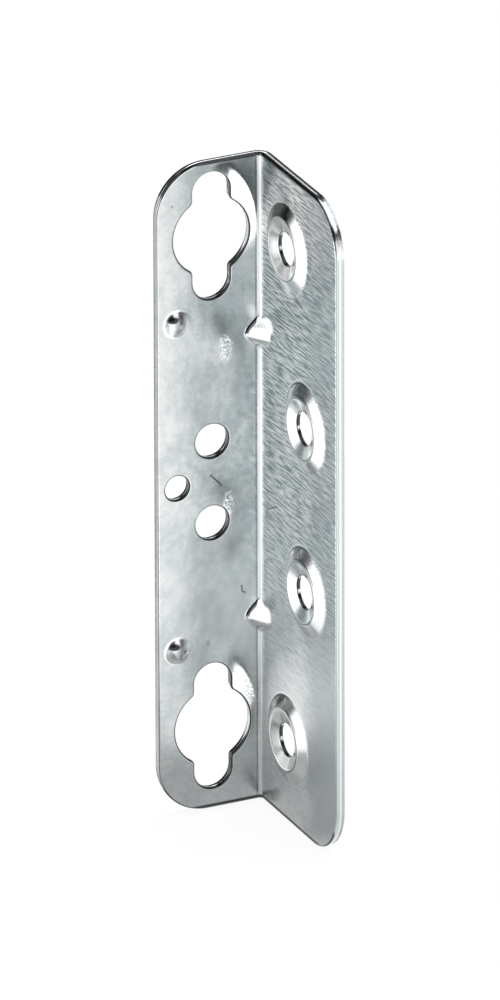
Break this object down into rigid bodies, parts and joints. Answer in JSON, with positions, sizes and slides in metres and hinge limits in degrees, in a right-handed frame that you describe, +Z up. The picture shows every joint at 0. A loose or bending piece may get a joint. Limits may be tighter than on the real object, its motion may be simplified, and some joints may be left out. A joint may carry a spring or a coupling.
{
  "type": "bed corner bracket",
  "caption": "Folded sheet-steel corner bracket: a narrow flange with double keyholes hooks onto a headboard and a wide flange with embossed screw seats joins the side rail.",
  "frame": {"origin": "on the outer face of the rail flange, halfway across it and level with the middle of the hole pattern", "axes": "+Z up along the fold; +X out of the rail flange's outer face, towards the side rail; +Y out of the hook flange's outer face, towards the headboard; the inside of the angle looks towards -X and -Y"},
  "size_m": [0.0223, 0.0332, 0.1266],
  "materials": {
    "zinc_plated_steel": "bright zinc plating over rolled sheet, lightly streaked and scuffed"
  },
  "bodies": {
    "root": {"bracket": "zinc_plated_steel"}
  },
  "joints": []
}
